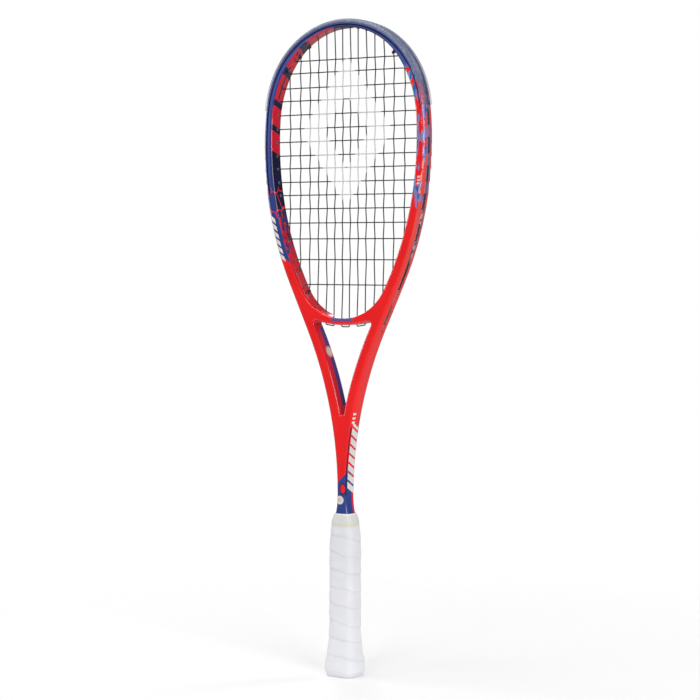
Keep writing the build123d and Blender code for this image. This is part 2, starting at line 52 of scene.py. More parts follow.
def node(tree, kind, inputs=None, **settings):
    """Add a node.  Settings are its properties; each input is a value, or a node or socket to link to it."""
    made = tree.nodes.new("ShaderNode" + kind)
    for name, value in settings.items():
        setattr(made, name, value)
    for name, value in (inputs or {}).items():
        if isinstance(value, bpy.types.Node):
            value = value.outputs[0]
        if isinstance(value, bpy.types.NodeSocket):
            tree.links.new(value, made.inputs[name])
        else:
            made.inputs[name].default_value = value
    return made


def new_material(name, sockets):
    """A material with a Principled shader on its output, and that shader's own sockets set."""
    material = bpy.data.materials.new(name)
    material.use_nodes = True
    tree = material.node_tree
    tree.nodes.clear()
    shader = node(tree, "BsdfPrincipled", sockets)
    node(tree, "OutputMaterial", {"Surface": shader})
    return material, tree, shader


FLOOR_RADIUS = 1.0              # metres, as all the studio's sizes are
FLOOR_FADE = (0.10, 0.80)       # the floor fades out between these distances from the racket
FLOOR_SIDES = 96
floor_material, tree, shader = new_material("painted_studio_floor", {
    "Base Color": linear("#ffffff"), "Roughness": 0.85, "Specular IOR Level": 0.2})
place = node(tree, "TexCoord").outputs["Object"]
distance = node(tree, "VectorMath", {0: place}, operation="LENGTH").outputs["Value"]
faded = node(tree, "MapRange", {"Value": distance, "From Min": FLOOR_FADE[0], "From Max": FLOOR_FADE[1]},
             interpolation_type="SMOOTHSTEP")
seamless = node(tree, "MixShader", {0: faded, 1: shader, 2: node(tree, "BsdfTransparent")})
tree.links.new(seamless.outputs[0], tree.nodes["Material Output"].inputs["Surface"])
shape = bmesh.new()
bmesh.ops.create_circle(shape, cap_ends=True, segments=FLOOR_SIDES, radius=FLOOR_RADIUS)
floor = bpy.data.objects.new("studio_floor", bpy.data.meshes.new("studio_floor"))
shape.to_mesh(floor.data)
shape.free()
floor.data.materials.append(floor_material)
bpy.context.scene.collection.objects.link(floor)

# The surround is seen as plain white, and lights the racket less than that.  In reflections it is the pale
# floor below the horizon, and a dim room above.
SURROUND_LIGHT = 0.40
FLOOR_GLOSS, ROOM_GLOSS = 0.35, 0.08
HORIZON = (-0.30, -0.08)        # the reflected floor fades into the room between these slopes
world = bpy.data.worlds.new("pale_surround")
bpy.context.scene.world = world
world.use_nodes = True
tree = world.node_tree
tree.nodes.clear()
seen = node(tree, "Background", {"Color": linear("#ffffff"), "Strength": 1.0})
lighting = node(tree, "Background", {"Color": linear("#ffffff"), "Strength": SURROUND_LIGHT})
up = node(tree, "SeparateXYZ", {0: node(tree, "TexCoord").outputs["Generated"]}).outputs["Z"]
gloss = node(tree, "MapRange", {"Value": up, "From Min": HORIZON[0], "From Max": HORIZON[1],
                                "To Min": FLOOR_GLOSS, "To Max": ROOM_GLOSS})
tent = node(tree, "Background", {"Color": linear("#ffffff"), "Strength": gloss})
rays = node(tree, "LightPath").outputs
unseen = node(tree, "MixShader", {0: rays["Is Glossy Ray"], 1: lighting, 2: tent})
surround = node(tree, "MixShader", {0: rays["Is Camera Ray"], 1: unseen, 2: seen})
node(tree, "OutputWorld", {"Surface": surround})

# Soft boxes: where each stands, where it points, its side and its power.
SOFT_BOXES = {
    "top_front_soft_box": ((0.3, -2.0, 2.0), (0, 0, 0.40), 0.8, 9),
    "right_soft_box": ((2.2, -1.4, 0.9), (0, 0, 0.35), 1.1, 27),
    "left_soft_box": ((-2.4, -0.4, 0.6), (0, 0, 0.40), 0.7, 9),
    "back_soft_box": ((1.5, 2.2, 2.5), (0, 0, 0.40), 1.0, 13),
    "far_soft_box": ((-1.6, 2.0, 1.3), (0, 0, 0.40), 1.2, 13),
    "overhead_soft_box": ((-0.4, -0.3, 2.6), (0, 0, 0.3), 1.2, 20),
}
for name, (stand, aim, side, power) in SOFT_BOXES.items():
    data = bpy.data.lights.new(name, "AREA")
    data.shape = "SQUARE"
    data.size = side
    data.energy = power
    light = bpy.data.objects.new(name, data)
    light.location = stand
    light.rotation_euler = (Vector(aim) - Vector(stand)).to_track_quat("-Z", "Y").to_euler()
    bpy.context.scene.collection.objects.link(light)

CAMERA_PLACE = (1.140, -1.825, 0.4333)
CAMERA_AIM = (0.0035, 0.0023, 0.3422)
CAMERA_ROLL = math.radians(0.19)
CAMERA_LENS, CAMERA_FILM = 106.0, 36.0      # focal length and film width, in millimetres
camera = bpy.data.objects.new("studio_camera", bpy.data.cameras.new("studio_camera"))
camera.data.lens = CAMERA_LENS
camera.data.sensor_width = CAMERA_FILM
camera.location = CAMERA_PLACE
turned = (Vector(CAMERA_AIM) - Vector(CAMERA_PLACE)).to_track_quat("-Z", "Y")
camera.rotation_euler = (turned @ Quaternion((0, 0, 1), CAMERA_ROLL)).to_euler()
bpy.context.scene.collection.objects.link(camera)
bpy.context.scene.camera = camera
bpy.context.scene.view_settings.view_transform = "Standard"

# ---- Frame and throat bridge -----------------------------------------------------------------------
# One hollow carbon moulding, with the bridge bonded into it.  Both are sprayed together: red from the shaft
# up, blue over the crown, broken into patches where they meet.  Plain blocks, bars and discs are masked on,
# and a clear lacquer covers it all.  The layout repeats half a turn round, so both faces look alike.
# The darker wall red is the red with painted shade, for the inner walls and throat sides; the lit red is it
# with a painted highlight, for the outer wall.
RED, SHADED_WALL_RED, LIT_RED, BLOCK_RED = "#ff1c1f", "#d20e26", "#f4504a", "#dd1230"
# The rim and bevel blues are the face blue painted lighter, as painted highlights; the inner blue is it
# painted darker, as painted shade at the face's inner edge.
BLUE, RIM_HIGHLIGHT_BLUE, BEVEL_HIGHLIGHT_BLUE, INNER_EDGE_SHADE_BLUE, NAVY = "#30458f", "#6a79ba", "#4d61ab", "#17246e", "#0a1140"
VIOLET, BRIDGE_VIOLET, THROAT_VIOLET, LILAC, TEAL = "#3f2c6c", "#64529a", "#4a3584", "#8d88c8", "#2470b6"
WHITE, DISC_CREAM, DISC_PALE = "#f1f1ef", "#efe4dc", "#dcc3bb"
DISC_TAN, DISC_ROSE = "#e2cdbf", "#c98f88"
MASK_EDGE = 0.15                # the masks' edges are this sharp, in millimetres

# The hoop's outside is three arcs a side: centre x, centre z, radius, and the height each starts at.
HOOP_ARCS = [(-252.0, 557.5, 351.2, 0.0), (-13.6, 582.3, 111.0, 594.3), (0.0, 588.0, 96.3, 625.7)]
CREASE = (3.9, 5.2)             # the crease lies this far in from the outside, above CREASE_FOOT
CREASE_FOOT = 505.0

paint, tree, shader = new_material("lacquered_carbon_paint", {
    "Roughness": 0.32, "IOR": 1.5, "Specular IOR Level": 0.25, "Coat Weight": 0.8, "Coat Roughness": 0.08,
    "Coat IOR": 1.5})


def place_in_mm(tree, cell=1.0):
    """Object coordinates in millimetres, or in cells that many millimetres wide."""
    metres = node(tree, "TexCoord").outputs["Object"]
    return node(tree, "VectorMath", {0: metres, "Scale": 1000.0 / cell}, operation="SCALE")


place = place_in_mm(tree)
x, y, z = node(tree, "SeparateXYZ", {0: place}).outputs
normal = node(tree, "TexCoord").outputs["Normal"]
normal_x, _, normal_z = node(tree, "SeparateXYZ", {0: normal}).outputs
x_off = node(tree, "Math", {0: x}, operation="ABSOLUTE")
y_off = node(tree, "Math", {0: y}, operation="ABSOLUTE")
x_side = node(tree, "Math", {0: x}, operation="SIGN")
front = node(tree, "Math", {0: node(tree, "Math", {0: y}, operation="SIGN"), 1: -1.0}, operation="MULTIPLY")
u = node(tree, "Math", {0: x, 1: front}, operation="MULTIPLY")


def past(value, edge, soft=MASK_EDGE):
    """A mask that is 1 where value is past edge, and 0 short of it."""
    return node(tree, "MapRange", {"Value": value, "From Min": edge - soft, "From Max": edge + soft})


def between(value, low, high, soft=MASK_EDGE):
    """A mask that is 1 where value lies between low and high."""
    return node(tree, "Math", {0: past(value, low, soft), 1: past(value, high, soft)}, operation="SUBTRACT")


def where_all(*masks):
    """A mask that is 1 only where every mask is."""
    result = masks[0]
    for mask in masks[1:]:
        result = node(tree, "Math", {0: result, 1: mask}, operation="MULTIPLY")
    return result


def outside(mask):
    """The rest of the surface, where a mask is 0."""
    return node(tree, "Math", {0: 1.0, 1: mask}, operation="SUBTRACT")


def bars(value, first, last, pitch, share):
    """A row of bars along value: each fills a share of its pitch, from first to last."""
    turns = node(tree, "Math", {0: value, 1: 1.0 / pitch, 2: -first / pitch}, operation="MULTIPLY_ADD")
    within = node(tree, "Math", {0: turns}, operation="FRACT")
    return where_all(between(value, first, last), past(outside(within), 1.0 - share, MASK_EDGE / pitch))


def disc(across, centre_across, centre_z, radius_across, radius_z):
    """A round or oval mask, by its middle and its radii; it reads 1 inside and 0 outside."""
    run = node(tree, "Math", {0: across, 1: 1.0 / radius_across, 2: -centre_across / radius_across},
               operation="MULTIPLY_ADD")
    rise = node(tree, "Math", {0: z, 1: 1.0 / radius_z, 2: -centre_z / radius_z}, operation="MULTIPLY_ADD")
    flat = node(tree, "CombineXYZ", {0: run, 1: rise})
    reach = node(tree, "VectorMath", {0: flat}, operation="LENGTH").outputs["Value"]
    return outside(past(reach, 1.0, MASK_EDGE / radius_z))


def slanted(value, lean):
    """Height measured along the frame, leaning by lean for each millimetre of value."""
    return node(tree, "Math", {0: value, 1: lean, 2: z}, operation="MULTIPLY_ADD")


def by_height(stops):
    """A number that changes with height, straight from one stop (height, number) to the next."""
    low, high = stops[0][0], stops[-1][0]
    share = node(tree, "MapRange", {"Value": z, "From Min": low, "From Max": high})
    ramp = node(tree, "ValToRGB", {0: share})
    for _ in stops[2:]:
        ramp.color_ramp.elements.new(0.5)
    for element, (height, number) in zip(ramp.color_ramp.elements, stops):
        element.position = (height - low) / (high - low)
        element.color = (number, number, number, 1.0)
    return ramp.outputs[0]


# Distance in from the hoop's outside, and how squarely the surface faces outwards in the hoop's plane.
depth, facing = None, None
for centre_x, centre_z, radius, start in HOOP_ARCS:
    run = node(tree, "Math", {0: x_off, 1: centre_x}, operation="SUBTRACT")
    rise = node(tree, "Math", {0: z, 1: centre_z}, operation="SUBTRACT")
    signed_run = node(tree, "Math", {0: run, 1: x_side}, operation="MULTIPLY")
    from_centre = node(tree, "CombineXYZ", {0: signed_run, 2: rise})
    reach = node(tree, "VectorMath", {0: from_centre}, operation="LENGTH").outputs["Value"]
    arc_depth = node(tree, "Math", {0: radius, 1: reach}, operation="SUBTRACT")
    outward = node(tree, "VectorMath", {0: from_centre}, operation="NORMALIZE")
    arc_facing = node(tree, "VectorMath", {0: outward, 1: normal}, operation="DOT_PRODUCT").outputs["Value"]
    if depth is None:
        depth, facing = arc_depth, arc_facing
    else:
        higher = node(tree, "Math", {0: z, 1: start}, operation="GREATER_THAN")
        depth = node(tree, "Mix", {0: higher, 2: depth, 3: arc_depth})
        facing = node(tree, "Mix", {0: higher, 2: facing, 3: arc_facing})

# Heights where the coats change and, for a soft change, its run to each side, in millimetres.
BRIDGE_TOP = 385.0
GROOVE_FOOT = (430.0, 40.0)
BLUE_FOOT = 446.0
NAVY_FOOT = (486.0, 6.0)
# the face's painted highlight and shade bands start at this height
SHADING_BAND_FOOT = (520.0, 30.0)
CROWN_FOOT = (634.0, 3.0)

inner_wall = outside(past(facing, -0.55, 0.10))
outer_wall = past(facing, 0.55, 0.12)
sideways = node(tree, "Math", {0: normal_x, 1: x_side}, operation="MULTIPLY")
throat_side = outside(past(sideways, -0.45, 0.06))
shaft_side = past(sideways, 0.62, 0.06)
right_half = past(u, 0.0)
left_half = outside(right_half)
face = where_all(outside(inner_wall), outside(outer_wall))
blue_face = where_all(left_half, face)
patch_face = where_all(right_half, face)
above_bridge = past(z, BRIDGE_TOP)
crown = past(z, *CROWN_FOOT)
crown_or_left = node(tree, "Math", {0: left_half, 1: crown}, operation="MAXIMUM")
highlight_and_shade_bands = where_all(face, past(z, *SHADING_BAND_FOOT), crown_or_left)

# Patches run along the frame, 3 to 5 mm across and 10 to 20 mm long, and one noise chooses their tones.
stretched = node(tree, "VectorMath", {0: place, 1: (0.20, 0.20, 0.062)}, operation="MULTIPLY")
patch_noise = node(tree, "TexNoise", {"Vector": stretched, "Scale": 1.0, "Detail": 1.0, "Roughness": 0.4,
                                      "Distortion": 0.3})
tone_noise = node(tree, "TexNoise", {"Vector": stretched, "Scale": 1.35, "Detail": 0.0})
soft_noise = node(tree, "TexNoise", {"Vector": place, "Scale": 0.03, "Detail": 2.0})
threshold = by_height([(470, 0.95), (481, 0.70), (500, 0.57), (585, 0.55), (600, 0.49), (630, 0.44),
                       (642, 0.0)])
blue_patch = past(node(tree, "Math", {0: patch_noise, 1: threshold}, operation="SUBTRACT"), 0.0, 0.004)
low_threshold = by_height([(425, 0.95), (438, 0.58), (455, 0.50), (476, 0.42), (490, 0.0)])
violet_patch = past(node(tree, "Math", {0: patch_noise, 1: low_threshold}, operation="SUBTRACT"), 0.0, 0.004)

# Cells about as wide as a finger, of which only the thin edges are masked on.
CELL = 15.0
CELL_BAND = (481.0, 513.0)
cells = node(tree, "TexVoronoi", {"Vector": place, "Scale": 1.0 / CELL, "Randomness": 0.75},
             feature="DISTANCE_TO_EDGE").outputs["Distance"]
cell_lines = where_all(outside(past(cells, 0.035, 0.008)), between(z, *CELL_BAND, 1.0))

# Plain blocks masked on the inside of the hoop: foot and head of each, on a slant.  The last runs on over the
# crown, short of the middle.  All end short of one edge of the wall.
BLOCKS = [(549, 571), (577, 597), (603, 629), (636, 655)]
LAST_BLOCK = 661.0
CROWN_GAP = 12.0
BLOCK_LEAN = 0.35
BLOCK_EDGE = -6.4
block_height = slanted(y, BLOCK_LEAN)
blocks = where_all(past(block_height, LAST_BLOCK), past(x_off, CROWN_GAP))
for foot, head in BLOCKS:
    blocks = node(tree, "Math", {0: blocks, 1: between(block_height, foot, head)}, operation="MAXIMUM")
BLOCK_SPLIT = (-3.4, -1.1)      # a fine gap splits the middle blocks along their length
block_split = where_all(between(y, *BLOCK_SPLIT), between(z, 606.0, 640.0))
block_reach = node(tree, "Math", {0: y, 1: x_side}, operation="MULTIPLY")
blocks = where_all(blocks, outside(block_split), past(block_reach, BLOCK_EDGE))

# The shaft is blue up to a slanted edge above the handle.
SHAFT_BLUE = 208.0
shaft_edge = node(tree, "Math", {0: z, 1: u}, operation="SUBTRACT")
shaft_blue = outside(past(shaft_edge, SHAFT_BLUE, 0.2))
shaft_front = where_all(outside(shaft_side), outside(past(z, 240.0)))
side_line = where_all(between(y_off, 6.9, 7.9), between(z, 190.0, 262.0))

# Rows of bars (foot, head, pitch and the share that is filled), and the middles of the discs (across and up).
FACE_BARS, PATCH_BARS = (440.0, 486.0, 8.0, 0.66), (513.0, 523.0, 3.4, 0.55)
SHAFT_BARS, THROAT_BARS = (195.0, 264.0, 9.4, 0.72), (266.0, 279.0, 4.4, 0.5)
THROAT_DISC, SHAFT_OVAL, SHAFT_DISC = (-1.8, 340.0), (2.0, 197.4), (-1.4, 185.5)

# The coats in the order they are laid on. Most are masked and sprayed paint; the darker and lighter wall
# reds, the face's bands and the crease line are painted shade and painted highlights.
bright_patch = past(tone_noise.outputs[0], 0.50, 0.004)
crease = between(depth, CREASE[0], CREASE[1], 0.25)
patched_below_crown = where_all(right_half, outside(past(z, 590.0)))
coats = [
    # Painted shade: the inner walls and the throat sides get a darker copy of the red.
    (where_all(inner_wall, above_bridge), SHADED_WALL_RED),
    (where_all(throat_side, outside(above_bridge)), SHADED_WALL_RED),
    # Painted highlight: the outer wall gets a lighter copy of the red.
    (where_all(outer_wall, past(z, *GROOVE_FOOT)), LIT_RED),
    (where_all(patch_face, blue_patch, bright_patch), TEAL),
    (where_all(patch_face, blue_patch, outside(bright_patch)), LILAC),
    (where_all(outer_wall, blue_patch), LILAC),
    (where_all(outer_wall, blue_patch, past(tone_noise.outputs[0], 0.53, 0.004)), TEAL),
    (where_all(blue_face, past(slanted(depth, 1.2), BLUE_FOOT, 0.3)), BLUE),
    (where_all(inner_wall, above_bridge, violet_patch), VIOLET),
    (where_all(inner_wall, past(z, *NAVY_FOOT)), NAVY),
    (where_all(inner_wall, cell_lines), RED),
    (where_all(blue_face, cell_lines), RED),
    (where_all(inner_wall, blocks, past(z, 545.0)), BLOCK_RED),
    (where_all(outside(inner_wall), crown), BLUE),
    # Painted highlights along the face's rim and bevel, and painted shade along its inner edge.
    (where_all(highlight_and_shade_bands, between(depth, 1.2, 3.5, 0.5)), RIM_HIGHLIGHT_BLUE),
    (where_all(highlight_and_shade_bands, between(depth, 6.2, 8.4, 0.8)), BEVEL_HIGHLIGHT_BLUE),
    (where_all(highlight_and_shade_bands, past(depth, 9.4, 0.8)), INNER_EDGE_SHADE_BLUE),
    # Painted shade: the crease between the rim and bevel bands is painted navy.
    (where_all(crease, past(z, CREASE_FOOT), outside(outer_wall), outside(patched_below_crown)), NAVY),
    (where_all(blue_face, between(depth, 1.2, 6.6), bars(slanted(depth, 0.9), *FACE_BARS)), WHITE),
    (where_all(patch_face, between(depth, 3.8, 6.8), bars(z, *PATCH_BARS)), WHITE),
    (where_all(between(x_off, -14.0, 13.0, 2.2), between(z, 372.2, 392.0, 0.7), outside(throat_side),
               past(normal_z, -0.3)), BRIDGE_VIOLET),
    (where_all(throat_side, between(block_reach, -7.4, 0.6, 0.4), between(z, 284.0, 366.0, 1.0)),
     THROAT_VIOLET),
    (where_all(throat_side, disc(block_reach, *THROAT_DISC, 6.2, 6.0)), DISC_ROSE),
    (where_all(throat_side, disc(block_reach, *THROAT_DISC, 4.6, 4.4)), DISC_PALE),
    (shaft_blue, BLUE),
    (where_all(shaft_side, past(y, 3.0), outside(past(z, 195.0))), RED),
    (side_line, NAVY),
    (where_all(shaft_front, disc(u, *SHAFT_OVAL, 3.4, 6.0), outside(past(z, 206.0))), NAVY),
    (where_all(shaft_front, disc(u, *SHAFT_OVAL, 2.5, 4.9)), RED),
    (where_all(shaft_front, disc(u, *SHAFT_DISC, 4.5, 4.5)), DISC_CREAM),
    (where_all(shaft_front, disc(u, *SHAFT_DISC, 2.4, 2.4)), DISC_TAN),
    (where_all(shaft_side, outside(past(y_off, 5.9)), bars(slanted(y, 0.55), *SHAFT_BARS)), WHITE),
    (where_all(between(block_reach, -7.6, -3.4), past(x_off, 4.0), bars(z, *THROAT_BARS)), WHITE),
]
colour = linear(RED)
for mask, coat in coats:
    colour = node(tree, "Mix", {0: mask, 6: colour, 7: linear(coat)}, data_type="RGBA").outputs[2]
# The coats are a touch uneven over the laminate, and the lacquer has a fine orange peel of about 1 mm.
uneven = node(tree, "MapRange", {"Value": soft_noise, "From Min": 0.3, "From Max": 0.7, "To Min": 0.94,
                                 "To Max": 1.04})
colour = node(tree, "HueSaturation", {"Color": colour, "Value": uneven})
tree.links.new(colour.outputs[0], shader.inputs["Base Color"])
peel = node(tree, "TexNoise", {"Vector": place, "Scale": 0.9, "Detail": 1.0})
tree.links.new(node(tree, "Bump", {"Height": peel, "Strength": 0.05, "Distance": 0.0002}).outputs[0],
               shader.inputs["Normal"])
gloss = node(tree, "MapRange", {"Value": soft_noise, "From Min": 0.3, "From Max": 0.7, "To Min": 0.27,
                                "To Max": 0.38})
tree.links.new(gloss.outputs[0], shader.inputs["Roughness"])


def dress(names, material):
    """Give CAD nodes their finish."""
    for name in names:
        for slot in nodes[name].material_slots:
            slot.material = material


dress(["frame", "throat_bridge"], paint)

# ---- Foam inside the bridge, the shaft and the handle ----------------------------------------------
# Rigid polyurethane foam, foamed in place, so its skin is cream-coloured with small open cells.
FOAM_CELL = 1.1                 # millimetres
foam, tree, shader = new_material("moulded_polyurethane_foam", {"Roughness": 0.9, "Specular IOR Level": 0.25})
place = place_in_mm(tree, FOAM_CELL)
pores = node(tree, "TexVoronoi", {"Vector": place, "Scale": 1.0})
tint = node(tree, "Mix", {0: pores, 6: linear("#b59f76"), 7: linear("#d8c69c")}, data_type="RGBA")
tree.links.new(tint.outputs[2], shader.inputs["Base Color"])
tree.links.new(node(tree, "Bump", {"Height": pores, "Strength": 0.5, "Distance": 0.0004}).outputs[0],
               shader.inputs["Normal"])
dress(["bridge_core", "shaft_plug", "handle_pallet"], foam)

# ---- Grommet strips --------------------------------------------------------------------------------
# Troughs of clear nylon, injection-moulded with a barrel for each string and pushed into the frame's groove.
# The paint shows through them, and their gloss is dulled a little by the mould and by handling.
clear_nylon, tree, shader = new_material("clear_moulded_nylon", {
    "Base Color": linear("#e9ecf4"), "Alpha": 0.12, "IOR": 1.53, "Coat Weight": 0.3, "Coat Roughness": 0.15})
place = place_in_mm(tree)
haze = node(tree, "TexNoise", {"Vector": place, "Scale": 0.4, "Detail": 3.0})
tree.links.new(node(tree, "MapRange", {"Value": haze, "From Min": 0.3, "From Max": 0.7, "To Min": 0.16,
                                       "To Max": 0.34}).outputs[0], shader.inputs["Roughness"])
tree.links.new(node(tree, "Bump", {"Height": haze, "Strength": 0.06, "Distance": 0.0003}).outputs[0],
               shader.inputs["Normal"])
dress(["grommet_strip_left", "grommet_strip_right", "grommet_strip_bridge"], clear_nylon)

# ---- Head bumper -----------------------------------------------------------------------------------
# Smoky clear nylon, moulded in one with the crown's grommets and pressed over the frame to take the knocks.
# Fine ribs run across it, and its crest is scuffed pale.
RIB_PITCH = 2.6                 # millimetres from rib to rib along the crest
RIB_CENTRE = 560.0              # the ribs fan out from this height on the axis
RIB_REACH = 112.0               # and the crest lies this far from there
THIN_FOOT, THICK_CREST = (598.0, 0.22), (650.0, 0.64)       # height, and how much of the paint it hides
smoky_nylon, tree, shader = new_material("smoky_clear_nylon", {
    "IOR": 1.53, "Coat Weight": 0.5, "Coat Roughness": 0.18})
place = place_in_mm(tree)
x, y, z = node(tree, "SeparateXYZ", {0: place}).outputs
rise = node(tree, "Math", {0: z, 1: RIB_CENTRE}, operation="SUBTRACT")
swing = node(tree, "Math", {0: rise, 1: x}, operation="ARCTAN2")
turns = node(tree, "Math", {0: swing, 1: 2 * math.pi * RIB_REACH / RIB_PITCH}, operation="MULTIPLY")
ribs = node(tree, "Math", {0: turns}, operation="SINE")
scuffs = node(tree, "TexNoise", {"Vector": place, "Scale": 0.22, "Detail": 5.0, "Roughness": 0.65})
scuffed = node(tree, "MapRange", {"Value": scuffs, "From Min": 0.52, "From Max": 0.70})
tint = node(tree, "Mix", {0: scuffed, 6: linear("#7f88a8"), 7: linear("#a9afc4")}, data_type="RGBA")
tree.links.new(tint.outputs[2], shader.inputs["Base Color"])
tree.links.new(node(tree, "MapRange", {"Value": scuffs, "From Min": 0.3, "From Max": 0.7, "To Min": 0.26,
                                       "To Max": 0.46}).outputs[0], shader.inputs["Roughness"])
# It is thinner towards its feet, so more of the paint shows there.
hiding = node(tree, "MapRange", {"Value": z, "From Min": THIN_FOOT[0], "From Max": THICK_CREST[0],
                                 "To Min": THIN_FOOT[1], "To Max": THICK_CREST[1]})
tree.links.new(hiding.outputs[0], shader.inputs["Alpha"])
ribbed = node(tree, "Bump", {"Height": ribs, "Strength": 0.08, "Distance": 0.0002})
tree.links.new(node(tree, "Bump", {"Height": scuffs, "Strength": 0.06, "Distance": 0.0002,
                                   "Normal": ribbed}).outputs[0], shader.inputs["Normal"])
dress(["head_bumper"], smoky_nylon)

# ---- Strings ---------------------------------------------------------------------------------------
# Two lengths of 1.2 mm nylon multifilament, black and resin-coated; the twist of the filaments just shows.
# A plain white diamond ring is stencilled on the bed, and its ink has slightly ragged edges.
TWIST = 1.6                     # millimetres from one turn of the outer filaments to the next, drawn coarse
STENCIL = (0.0, 570.0, 56.0, 78.0)      # the ring's middle (across, up) and its half width and half height
STENCIL_HOLE = 0.5              # its inside, as a share of its outside
INK_EDGE = 0.04
string, tree, shader = new_material("coated_multifilament_nylon", {"IOR": 1.53, "Specular IOR Level": 0.4})
place = place_in_mm(tree)
x, y, z = node(tree, "SeparateXYZ", {0: place}).outputs
twist = node(tree, "TexWave", {"Vector": place, "Scale": 1.0 / TWIST, "Distortion": 0.6, "Detail": 1.0},
             wave_type="BANDS", bands_direction="DIAGONAL")
centre_x, centre_z, half_x, half_z = STENCIL
run = node(tree, "Math", {0: node(tree, "Math", {0: x, 1: centre_x}, operation="SUBTRACT")},
           operation="ABSOLUTE")
rise = node(tree, "Math", {0: node(tree, "Math", {0: z, 1: centre_z}, operation="SUBTRACT")},
            operation="ABSOLUTE")
share_x = node(tree, "Math", {0: run, 1: half_x}, operation="DIVIDE")
share = node(tree, "Math", {0: rise, 1: 1.0 / half_z, 2: share_x}, operation="MULTIPLY_ADD")
ragged = node(tree, "TexNoise", {"Vector": place, "Scale": 0.8, "Detail": 1.0})
reach = node(tree, "Math", {0: ragged, 1: 0.05, 2: share}, operation="MULTIPLY_ADD")
within = node(tree, "MapRange", {"Value": reach, "From Min": 1.0, "From Max": 1.0 + INK_EDGE, "To Min": 0.96,
                                 "To Max": 0.0})
beyond = node(tree, "MapRange", {"Value": reach, "From Min": STENCIL_HOLE,
                                 "From Max": STENCIL_HOLE + INK_EDGE})
inked = node(tree, "Math", {0: within, 1: beyond}, operation="MULTIPLY")
coated = node(tree, "Mix", {0: twist, 6: linear("#232326"), 7: linear("#404045")}, data_type="RGBA")
inked_colour = node(tree, "Mix", {0: inked, 6: coated.outputs[2], 7: linear("#dcdcdc")}, data_type="RGBA")
tree.links.new(inked_colour.outputs[2], shader.inputs["Base Color"])
tree.links.new(node(tree, "MapRange", {"Value": inked, "To Min": 0.34, "To Max": 0.7}).outputs[0],
               shader.inputs["Roughness"])
tree.links.new(node(tree, "Bump", {"Height": twist, "Strength": 0.3, "Distance": 0.0001}).outputs[0],
               shader.inputs["Normal"])
dress(["main_string", "cross_string"], string)

# ---- Butt cap, its staples and the grip's backing --------------------------------------------------
# The cap is white polypropylene, moulded with a finely sparked face, and stapled on with bright steel wire.
# The backing is a cream double-sided tape with a cotton scrim in it.
cap_plastic, tree, shader = new_material("moulded_white_polypropylene", {"IOR": 1.49})
place = place_in_mm(tree)
spark = node(tree, "TexNoise", {"Vector": place, "Scale": 2.2, "Detail": 3.0})
flow = node(tree, "TexNoise", {"Vector": place, "Scale": 0.08, "Detail": 2.0})
tint = node(tree, "Mix", {0: flow, 6: linear("#dcdde1"), 7: linear("#e9eaed")}, data_type="RGBA")
tree.links.new(tint.outputs[2], shader.inputs["Base Color"])
tree.links.new(node(tree, "MapRange", {"Value": spark, "To Min": 0.42, "To Max": 0.62}).outputs[0],
               shader.inputs["Roughness"])
tree.links.new(node(tree, "Bump", {"Height": spark, "Strength": 0.25, "Distance": 0.0001}).outputs[0],
               shader.inputs["Normal"])
dress(["butt_cap"], cap_plastic)

DRAW_MARKS = (300.0, 6000.0, 6000.0)        # marks to a metre: long along the staple's crown, fine across
staple_wire, tree, shader = new_material("bright_drawn_steel_wire", {"Metallic": 1.0})
place = node(tree, "VectorMath", {0: node(tree, "TexCoord").outputs["Object"], 1: DRAW_MARKS},
             operation="MULTIPLY")
drawn = node(tree, "TexNoise", {"Vector": place, "Scale": 1.0, "Detail": 2.0})
tint = node(tree, "Mix", {0: drawn, 6: linear("#b4b6ba"), 7: linear("#d3d5d8")}, data_type="RGBA")
tree.links.new(tint.outputs[2], shader.inputs["Base Color"])
tree.links.new(node(tree, "MapRange", {"Value": drawn, "To Min": 0.2, "To Max": 0.42}).outputs[0],
               shader.inputs["Roughness"])
dress(["staple_front", "staple_back"], staple_wire)

SCRIM = 1.4                     # thread spacing in millimetres
backing, tree, shader = new_material("double_sided_scrim_tape", {"Roughness": 0.6})
place = place_in_mm(tree, SCRIM)
threads = node(tree, "TexWave", {"Vector": place, "Scale": 0.5}, bands_direction="Z")
tint = node(tree, "Mix", {0: threads, 6: linear("#cfc6ad"), 7: linear("#e3dcc8")}, data_type="RGBA")
tree.links.new(tint.outputs[2], shader.inputs["Base Color"])
tree.links.new(node(tree, "Bump", {"Height": threads, "Strength": 0.3, "Distance": 0.0001}).outputs[0],
               shader.inputs["Normal"])
dress(["grip_backing"], backing)

# ---- Grip ------------------------------------------------------------------------------------------
# One strip of cushioned polyurethane on felt, wound up the handle from the butt by hand.
# Each turn laps over the one below it, so soft ridges run down to the right round the handle.
# Outside of the wound grip: height, half width, half depth, in millimetres.
GRIP = [(1.6, 16.6, 14.9), (2.6, 17.6, 15.9), (5.5, 18.7, 17.0), (9.0, 18.9, 17.2), (12.5, 18.8, 17.1),
        (18.0, 17.9, 16.3), (26.0, 16.7, 15.2), (36.0, 15.7, 14.1), (48.0, 15.0, 13.4), (140.0, 14.7, 13.1),
        (151.0, 14.0, 12.6), (159.0, 12.9, 12.0), (165.0, 11.9, 11.4)]
GRIP_SQUARENESS = 3.6           # 2 would be an oval, and a large number a sharp oblong
SLEEVE_SIDES = 144
RING_STEP = 0.8
TURN_PITCH = 18.0               # the strip climbs this far in a turn
LAP_RISE = 0.50                 # a turn's lower edge stands this proud of the turn below
LAP_ROUND = 1.3                 # and rounds over within this height
LAP_FALL = 1.6                  # above that it thins away, faster with a larger number
LAP_WANDER = 0.16               # the edges wander by this share of the pitch, as hands leave them
HOLLOW_SHARE = 0.14             # the share of the pitch, under the next edge, that lies in its hollow
CUSHION = 0.30                  # soft hollows and swells left by the winding
WOUND_FROM, WOUND_TO = (2.0, 8.0), (150.0, 7.0)     # laps show between these heights, over these runs
GRIP_WALL = 1.5
